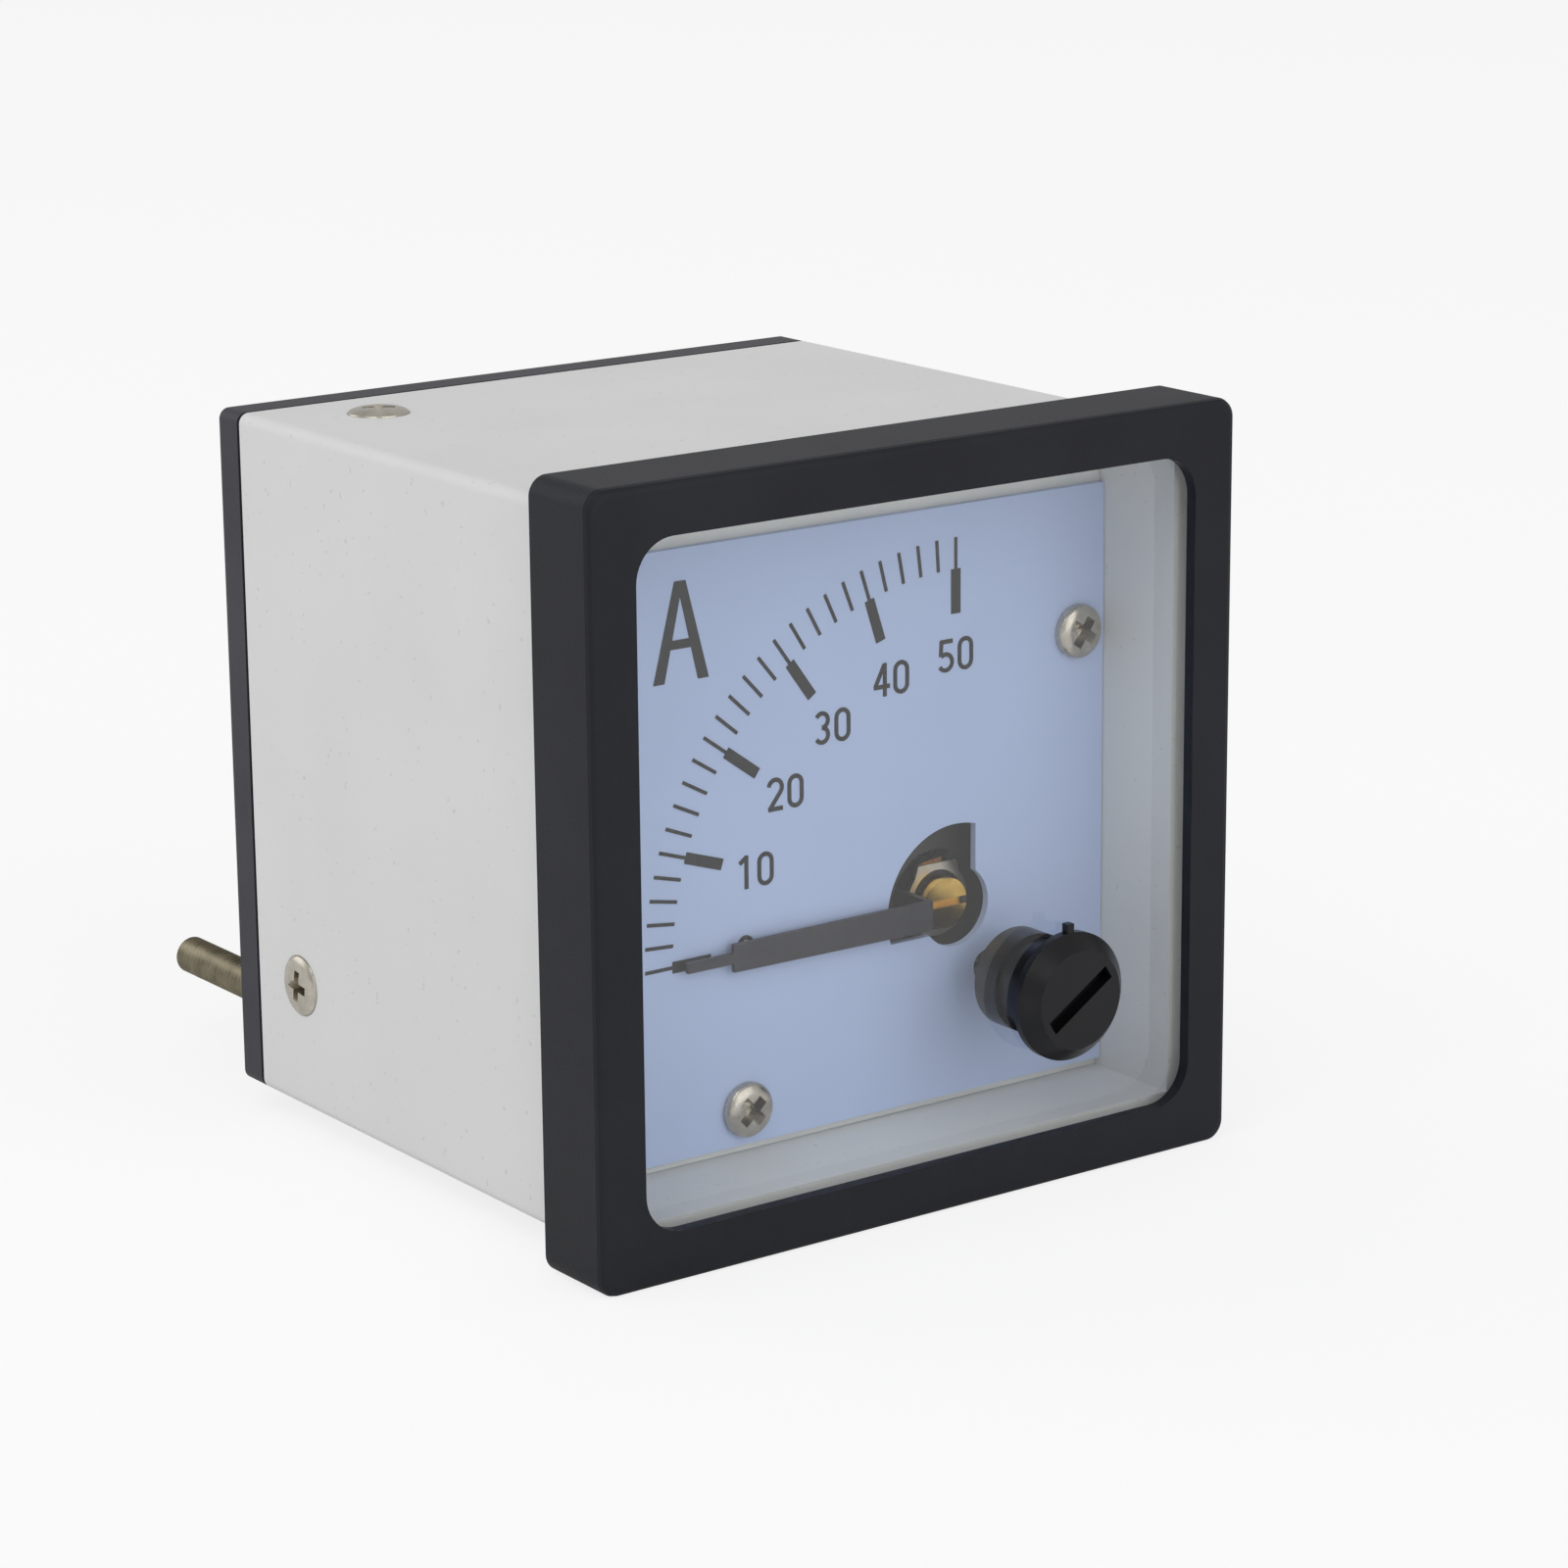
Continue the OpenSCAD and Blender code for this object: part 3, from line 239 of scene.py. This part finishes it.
metals = {
    "nickelScrew": {"dark": tint(176, 170, 158), "light": tint(206, 200, 188), "patch": 0.9, "grain": 0.15,
                    "roughness": 0.26, "uneven": 0.14, "depth": 0.003},
    "dullSteel": {"dark": tint(112, 106, 90), "light": tint(150, 142, 120), "patch": 1.2, "grain": 0.2,
                  "roughness": 0.42, "uneven": 0.2, "depth": 0.006},
    "zincPlate": {"dark": tint(176, 176, 172), "light": tint(200, 200, 196), "patch": 1.5, "grain": 0.2,
                  "roughness": 0.3, "uneven": 0.14, "depth": 0.004},
    "hubPlate": {"dark": tint(190, 184, 170), "light": tint(214, 208, 194), "patch": 1.2, "grain": 0.12,
                 "roughness": 0.35, "uneven": 0.12, "depth": 0.002},
    "bronze": {"dark": tint(150, 104, 62), "light": tint(190, 138, 84), "patch": 0.6, "grain": 0.1,
               "roughness": 0.28, "uneven": 0.1, "depth": 0.002},
    "brassSheet": {"dark": tint(176, 142, 74), "light": tint(206, 172, 100), "patch": 1.4, "grain": 0.15,
                   "roughness": 0.3, "uneven": 0.14, "depth": 0.003},
    "tinned": {"dark": tint(186, 182, 168), "light": tint(210, 206, 194), "patch": 1.0, "grain": 0.15,
               "roughness": 0.36, "uneven": 0.14, "depth": 0.004},
    "iron": {"dark": tint(92, 94, 98), "light": tint(120, 122, 126), "patch": 2.0, "grain": 0.14,
             "roughness": 0.42, "uneven": 0.16, "depth": 0.006},
    "magnet": {"dark": tint(66, 66, 70), "light": tint(88, 88, 92), "patch": 1.6, "grain": 0.2,
               "roughness": 0.5, "uneven": 0.14, "depth": 0.008, "metallic": 0.8},
    "aluminium": {"dark": tint(188, 189, 192), "light": tint(212, 213, 216), "patch": 1.4, "grain": 0.1,
                  "roughness": 0.3, "uneven": 0.12, "depth": 0.002},
    "shuntAlloy": {"dark": tint(126, 100, 74), "light": tint(158, 130, 100), "patch": 2.2, "grain": 0.18,
                   "roughness": 0.4, "uneven": 0.18, "depth": 0.005},
    "polished": {"dark": tint(184, 184, 188), "light": tint(204, 204, 208), "patch": 0.6, "grain": 0.1,
                 "roughness": 0.14, "uneven": 0.06, "depth": 0.0008},
}
paints = {
    "dialPaint": {"dark": tint(178, 194, 229), "light": tint(182, 198, 233), "patch": 14, "grain": 0.12,
                  "roughness": 0.6, "depth": 0.002},
    "dialInk": {"dark": tint(30, 30, 32), "light": tint(38, 38, 40), "patch": 1.0, "grain": 0.08,
                "roughness": 0.7, "depth": 0.003},
    "pointerPaint": {"dark": tint(46, 46, 52), "light": tint(58, 58, 66), "patch": 1.4, "grain": 0.1,
                     "roughness": 0.42, "depth": 0.003, "gloss": 0.35},
}
jewelScrewLook = {"dark": tint(196, 158, 72), "light": tint(232, 196, 112), "patch": 0.8, "ring": 0.12,
                  "roughness": 0.2, "uneven": 0.1, "depth": 0.003, "centre": (-0.0088, 0.0, 0.0078)}
glassLook = {"color": (1.0, 1.0, 1.0, 1.0), "shade": (0.96, 0.97, 0.97, 1.0), "haze": 8, "uneven": 0.004}
# dark is painted shade in the grooves between wire turns; light is the copper's own colour
windingLook = {"dark": tint(96, 44, 20), "light": tint(184, 100, 52), "wire": 0.09}

made = {}
for name, look in plastics.items():
    made[name] = mouldedPlastic(name + "Plastic", look)
for name, look in metals.items():
    made[name] = metal(name + "Metal", look)
for name, look in paints.items():
    made[name] = printedPaint(name, look)
made["jewelScrew"] = turnedMetal("turnedBrass", jewelScrewLook)
made["glass"] = windowGlass("windowGlass", glassLook)
made["winding"] = woundWire("woundCopper", windingLook)

finishOf = {
    "bezel_frame": "bezel", "window_glass": "glass", "housing": "housing", "rear_cover": "cover",
    "side_screws": "nickelScrew", "dial_plate": "dialPaint", "scale_marks": "dialInk",
    "scale_numerals": "dialInk", "unit_letter": "dialInk", "dial_screws": "nickelScrew",
    "movement_base": "base", "base_screws": "zincPlate", "yoke_ring": "iron", "core_magnet": "magnet",
    "core_sleeve": "brassSheet", "front_bridge": "bridge", "bridge_screws": "zincPlate",
    "front_jewel_screw": "jewelScrew", "front_jewel": "jewel", "rear_bridge": "bridge",
    "rear_bridge_screws": "zincPlate", "rear_jewel_screw": "jewelScrew", "rear_jewel": "jewel",
    "rear_spring_arm": "brassSheet", "rear_hairspring": "bronze", "zero_adjuster": "knob",
    "zero_lever": "hubPlate", "front_hairspring": "bronze", "pointer": "pointerPaint", "hub_plate": "hubPlate",
    "balance_cross": "hubPlate", "balance_weights": "bronze", "coil_former": "aluminium",
    "coil_winding": "winding", "front_pivot": "polished", "rear_pivot": "polished",
    "terminal_studs": "brassSheet", "terminal_washers": "zincPlate", "spring_washers": "zincPlate",
    "terminal_nuts": "brassSheet", "shunt_strip": "shuntAlloy", "solder_tags": "tinned",
    "lead_wires": "sleeve", "calibration_resistor": "resistor", "mounting_studs": "dullSteel",
    "stud_nuts": "zincPlate",
}
for node, finish in finishOf.items():
    piece = cadNodes[node]
    if not piece.material_slots:
        piece.data.materials.append(made[finish])
    for slot in piece.material_slots:
        slot.material = made[finish]
print("finishes on", len(finishOf), "nodes")


def alone():
    if bpy.context.object and bpy.context.object.mode != "OBJECT":
        bpy.ops.object.mode_set(mode="OBJECT")
    bpy.ops.object.select_all(action="DESELECT")


def settle(piece, name, body, finish, smooth=35):
    # puts the piece's place into its mesh and gives it a body and a finish
    alone()
    piece.select_set(True)
    bpy.context.view_layer.objects.active = piece
    bpy.ops.object.transform_apply(location=True, rotation=True, scale=True)
    if smooth:
        bpy.ops.object.shade_smooth_by_angle(angle=math.radians(smooth))
    piece.name = name
    piece.data.name = name
    piece.data.materials.clear()
    piece.data.materials.append(made[finish])
    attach(piece, body)
    return piece


def join(pieces):
    alone()
    for piece in pieces:
        piece.select_set(True)
    bpy.context.view_layer.objects.active = pieces[0]
    bpy.ops.object.join()
    return bpy.context.object


def cut(piece, tool, operation="DIFFERENCE"):
    alone()
    bpy.context.view_layer.objects.active = piece
    piece.select_set(True)
    change = piece.modifiers.new("cut", "BOOLEAN")
    change.operation = operation
    change.object = tool
    change.solver = "EXACT"
    bpy.ops.object.modifier_apply(modifier=change.name)
    bpy.data.objects.remove(tool, do_unlink=True)
    return piece


def ringedRod(rings, place, corners=32):
    # a rod along +Y built up ring by ring: each ring is a radius and a step forward
    alone()
    x, y, z = place
    bpy.ops.mesh.primitive_circle_add(vertices=corners, radius=rings[0][0], fill_type="NGON",
                                      location=place, rotation=(math.pi / 2, 0, 0))
    piece = bpy.context.object
    bpy.ops.object.mode_set(mode="EDIT")
    bpy.ops.mesh.select_all(action="SELECT")
    radius = rings[0][0]
    for ringRadius, step in rings[1:]:
        bpy.ops.mesh.extrude_region_move(TRANSFORM_OT_translate={"value": (0, step, 0)})
        y += step
        ratio = ringRadius / radius
        bpy.ops.transform.resize(value=(ratio, 1, ratio), center_override=(x, y, z))
        radius = ringRadius
    bpy.ops.mesh.select_all(action="SELECT")
    bpy.ops.mesh.normals_make_consistent(inside=False)
    bpy.ops.object.mode_set(mode="OBJECT")
    return piece


def thread(radius, pitch, depth, length, tip):
    # rings for ringedRod: one ridge a pitch, then a small taper; not a helix
    rings = [(radius - depth, 0)]
    for turn in range(int(length / pitch)):
        rings += [(radius - depth, pitch * 0.12), (radius, pitch * 0.38), (radius, pitch * 0.12),
                  (radius - depth, pitch * 0.38)]
    rings += [(radius - depth - tip, tip)]
    return rings


nutTurn = 30


def nut(look, place):
    # a hexagon nut along +Y with chamfered corners and a plain bore
    x, y, z = place
    half = look["thick"] / 2
    corner = look["flats"] / math.sqrt(3)
    alone()
    bpy.ops.mesh.primitive_cylinder_add(vertices=6, radius=corner, depth=look["thick"],
                                        location=(x, y + half, z),
                                        rotation=(math.pi / 2, math.radians(nutTurn), 0))
    body = bpy.context.object
    alone()
    slope = look["slope"]
    chamfer = slope * 0.6
    widest = corner + 0.02 * mm
    rim = ringedRod([(corner - slope, 0), (widest, chamfer), (widest, look["thick"] - 2 * chamfer),
                     (corner - slope, chamfer)], (x, y, z), 48)
    cut(body, rim, "INTERSECT")
    boreRadius = look["bore"] + 0.12 * mm
    past = 0.2 * mm
    hole = ringedRod([(boreRadius, 0), (boreRadius, look["thick"] + 2 * past)], (x, y - past, z), 32)
    return cut(body, hole)


studLook = {"offset": 18 * mm, "radius": 1.25 * mm, "pitch": 0.45 * mm, "depth": 0.16 * mm, "tip": 0.3 * mm}
low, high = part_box("mounting_studs")
studs = []
for side in (-1, 1):
    length = high.y - low.y - studLook["tip"]
    turns = int(length / studLook["pitch"])
    rings = thread(studLook["radius"], length / turns, studLook["depth"], length + 1e-7, studLook["tip"])
    studs.append(ringedRod(rings, (side * studLook["offset"], low.y, side * studLook["offset"]), 28))
mountingThread = settle(join(studs), "mountingThread", "case", "dullSteel", 25)
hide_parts("mounting_studs")

studNutLook = {"flats": 5 * mm, "bore": 1.25 * mm, "slope": 0.3 * mm}
low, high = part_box("stud_nuts")
studNutLook["thick"] = high.y - low.y
studNuts = [nut(studNutLook, (side * studLook["offset"], low.y, side * studLook["offset"])) for side in (-1, 1)]
mountingNuts = settle(join(studNuts), "mountingNuts", "case", "zincPlate")
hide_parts("stud_nuts")
print("mounting studs done")

terminalLook = {"offset": 9.5 * mm, "radius": 2.0 * mm, "endRadius": 1.65 * mm, "pitch": 0.7 * mm,
                "depth": 0.24 * mm, "tip": 0.3 * mm, "rootTip": 0.02 * mm, "headFlats": 7 * mm,
                "headThick": 2.6 * mm}
low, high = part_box("terminal_studs")
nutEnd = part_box("terminal_nuts")[1].y
terminals = []
for side in (-1, 1):
    start = low.y + terminalLook["headThick"]
    length = nutEnd - start - terminalLook["rootTip"]
    turns = int(length / terminalLook["pitch"])
    rings = thread(terminalLook["radius"], length / turns, terminalLook["depth"], length + 1e-7,
                   terminalLook["rootTip"])
    length = high.y - nutEnd - terminalLook["tip"]
    turns = int(length / terminalLook["pitch"])
    rings += thread(terminalLook["endRadius"], length / turns, terminalLook["depth"], length + 1e-7,
                    terminalLook["tip"])[1:]
    terminals.append(ringedRod(rings, (side * terminalLook["offset"], start, 0), 32))
    headLook = {"flats": terminalLook["headFlats"], "bore": 1.2 * mm, "slope": 0.4 * mm,
                "thick": terminalLook["headThick"]}
    terminals.append(nut(headLook, (side * terminalLook["offset"], low.y, 0)))
terminalThread = settle(join(terminals), "terminalThread", "case", "brassSheet", 25)
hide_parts("terminal_studs")

low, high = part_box("terminal_nuts")
terminalNutLook = {"flats": 7 * mm, "bore": 2.0 * mm, "slope": 0.4 * mm, "thick": 2.8 * mm}
terminalNuts = []
for side in (-1, 1):
    for start in (low.y, high.y - terminalNutLook["thick"]):
        terminalNuts.append(nut(terminalNutLook, (side * terminalLook["offset"], start, 0)))
terminalNutSet = settle(join(terminalNuts), "terminalNutSet", "case", "brassSheet")
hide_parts("terminal_nuts")
print("terminals done")


# the recess floor's size as a share of its mouth's
recessFloor = {"length": 0.4, "width": 0.5}
domeSteps = 7


def crossRecess(look):
    # two tapered bars that are taken out of a screw head facing -Y at the origin
    arms = []
    for turn in (0, 90):
        alone()
        bpy.ops.mesh.primitive_cube_add(size=1, scale=(look["recess"], look["deep"] * 2, look["width"]))
        arm = bpy.context.object
        bpy.ops.object.transform_apply(location=True, rotation=True, scale=True)
        bpy.ops.object.mode_set(mode="EDIT")
        bpy.ops.mesh.select_all(action="DESELECT")
        bpy.ops.object.mode_set(mode="OBJECT")
        for face in arm.data.polygons:
            face.select = face.normal.y > 0.9
        bpy.ops.object.mode_set(mode="EDIT")
        bpy.ops.transform.resize(value=(recessFloor["length"], 1, recessFloor["width"]),
                                 center_override=(0, 0, 0))
        bpy.ops.object.mode_set(mode="OBJECT")
        arm.location.y = -look["height"]
        arm.rotation_euler.y = math.radians(turn + look["turn"])
        arms.append(arm)
    return arms


def screwHead(look, place, tilt=(0, 0, 0)):
    # a domed head in front of y = 0 with the rest of the screw behind, then moved to its place
    radius, height = look["radius"], look["height"]
    rings = [(radius * look["flat"], 0)]
    last = -height
    for step in range(1, domeSteps + 1):
        angle = math.radians(90 * step / domeSteps)
        reach = radius * (look["flat"] + (1 - look["flat"]) * math.sin(angle))
        depth = -height * (look["rim"] + (1 - look["rim"]) * math.cos(angle))
        rings.append((reach, depth - last))
        last = depth
    if look["rim"] > 0:
        rings.append((radius * 0.98, -last))
    rings.append((look["shank"], look["sink"]))
    rings.append((look["shank"], look["length"] - look["sink"]))
    head = ringedRod(rings, (0, -height, 0), 48)
    for arm in crossRecess(look):
        cut(head, arm)
    alone()
    head.select_set(True)
    bpy.context.view_layer.objects.active = head
    bpy.ops.object.transform_apply(location=True, rotation=True, scale=True)
    head.rotation_euler = [math.radians(angle) for angle in tilt]
    head.location = place
    return head


low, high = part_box("dial_screws")
dialScrewLook = {"radius": 1.75 * mm, "height": 0.8 * mm, "flat": 0.5, "rim": 0.35, "shank": 0.8 * mm,
                 "sink": 0.0, "recess": 2.9 * mm, "width": 0.95 * mm, "deep": 1.0 * mm}
dialScrewLook["length"] = high.y - low.y - dialScrewLook["height"]
edge = dialScrewLook["radius"]
seat = low.y + dialScrewLook["height"]
heads = [screwHead(dict(dialScrewLook, turn=35), (high.x - edge, seat, high.z - edge)),
         screwHead(dict(dialScrewLook, turn=48), (low.x + edge, seat, low.z + edge))]
dialHeads = settle(join(heads), "dialHeads", "case", "nickelScrew", 28)
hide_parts("dial_screws")

low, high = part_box("side_screws")
middle = (low.y + high.y) / 2
wallScrewLook = {"radius": 1.95 * mm, "height": 0.38 * mm, "flat": 0.3, "rim": 0.0, "shank": 1.0 * mm,
                 "sink": 1.1 * mm, "length": 5.0 * mm, "recess": 3.0 * mm, "width": 0.75 * mm,
                 "deep": 1.0 * mm, "side": 14.0 * mm, "top": 15.2 * mm}
walls = [((low.x, middle, -wallScrewLook["side"]), (0, 0, -90), 8),
         ((high.x, middle, wallScrewLook["side"]), (0, 0, 90), 20),
         ((-wallScrewLook["top"], middle, high.z), (-90, 0, 0), 30),
         ((wallScrewLook["top"], middle, low.z), (90, 0, 0), 12)]
heads = [screwHead(dict(wallScrewLook, turn=turn), place, tilt) for place, tilt, turn in walls]
wallHeads = settle(join(heads), "wallHeads", "case", "nickelScrew", 28)
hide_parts("side_screws")
print("screws done")

rivetLook = {"right": 3.6 * mm, "down": 2.15 * mm, "radius": 0.3 * mm, "height": 0.12 * mm}
tagLook = {"right": -0.35 * mm, "up": 2.4 * mm, "size": (1.9 * mm, 0.06 * mm, 0.26 * mm),
           "gap": 0.05 * mm, "turn": -8}
pivotX, pivotZ = 8.8 * mm, -7.8 * mm
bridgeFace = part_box("front_bridge")[0].y
rivet = ringedRod([(rivetLook["radius"] * 0.5, 0), (rivetLook["radius"], rivetLook["height"] * 0.7),
                   (rivetLook["radius"], rivetLook["height"] * 0.3)],
                  (pivotX + rivetLook["right"], bridgeFace - rivetLook["height"],
                   pivotZ - rivetLook["down"]), 24)
bridgeRivet = settle(rivet, "bridgeRivet", "case", "nickelScrew")

alone()
bpy.ops.mesh.primitive_cube_add(size=1, scale=tagLook["size"], rotation=(0, math.radians(tagLook["turn"]), 0),
                                location=(pivotX + tagLook["right"], bridgeFace - tagLook["gap"],
                                          pivotZ + tagLook["up"]))
springTag = settle(bpy.context.object, "springTag", "moving_element", "bronze", 0)
print("bridge details done")


cameraLook = {"place": (-0.16731, -0.22106, 0.07543), "turn": (75.185, 0.490, -36.205), "lens": 108.5}
bpy.ops.object.camera_add(location=cameraLook["place"],
                          rotation=[math.radians(angle) for angle in cameraLook["turn"]])
camera = bpy.context.object
camera.data.lens = cameraLook["lens"]
camera.data.sensor_width = 36
camera.data.clip_start = 0.01
camera.data.clip_end = 20
bpy.context.scene.camera = camera

lamps = [
    {"name": "keyLamp", "place": (-0.55, -0.25, 0.75), "size": 0.6, "power": 2.2},
    {"name": "frontLamp", "place": (0.15, -0.9, 0.35), "size": 0.9, "power": 2.75},
    {"name": "rearLamp", "place": (-0.5, 0.7, 0.4), "size": 0.7, "power": 1.4},
]
for lamp in lamps:
    bpy.ops.object.light_add(type="AREA", location=lamp["place"])
    light = bpy.context.object
    light.name = lamp["name"]
    light.data.energy = lamp["power"]
    light.data.size = lamp["size"]
    toward = -light.location.normalized()
    light.rotation_euler = toward.to_track_quat("-Z", "Y").to_euler()

# strength is the light the part gets, and shownStrength the backdrop the camera sees
studioLook = {"strength": 0.56, "shownStrength": 1.0}
world = bpy.data.worlds.new("studio")
bpy.context.scene.world = world
world.use_nodes = True
worldTree = world.node_tree
surround = worldTree.nodes["Background"]
surround.inputs["Color"].default_value = (1, 1, 1, 1)
surround.inputs["Strength"].default_value = studioLook["strength"]
backdrop = worldTree.nodes.new("ShaderNodeBackground")
backdrop.inputs["Color"].default_value = (1, 1, 1, 1)
backdrop.inputs["Strength"].default_value = studioLook["shownStrength"]
seen = worldTree.nodes.new("ShaderNodeLightPath")
choice = worldTree.nodes.new("ShaderNodeMixShader")
worldTree.links.new(seen.outputs["Is Camera Ray"], choice.inputs[0])
worldTree.links.new(surround.outputs[0], choice.inputs[1])
worldTree.links.new(backdrop.outputs[0], choice.inputs[2])
worldTree.links.new(choice.outputs[0], worldTree.nodes["World Output"].inputs["Surface"])

floorLook = {"size": 6, "shade": 0.9, "roughness": 0.9, "glow": 0.8}
bpy.ops.mesh.primitive_plane_add(size=floorLook["size"], location=(0, 0, cadBox[0][2]))
floor = bpy.context.object
floor.name = "floor"
paper = Finish("paleFloor")
shade = floorLook["shade"]
paper.set(color=(shade, shade, shade, 1), roughness=floorLook["roughness"])
glow = paper.add("ShaderNodeEmission", {}, {"Color": (1, 1, 1, 1), "Strength": 1.0})
camRay = paper.add("ShaderNodeLightPath", output="Is Camera Ray")
sheetMix = paper.add("ShaderNodeMixShader", {}, {0: camRay * floorLook["glow"],
                                                 1: Wire(paper, paper.shader.outputs[0]), 2: glow})
paper.feed(paper.tree.nodes["Material Output"].inputs["Surface"], sheetMix)
floor.data.materials.append(paper.material)

bpy.context.scene.view_settings.view_transform = "Standard"
print("scene done")
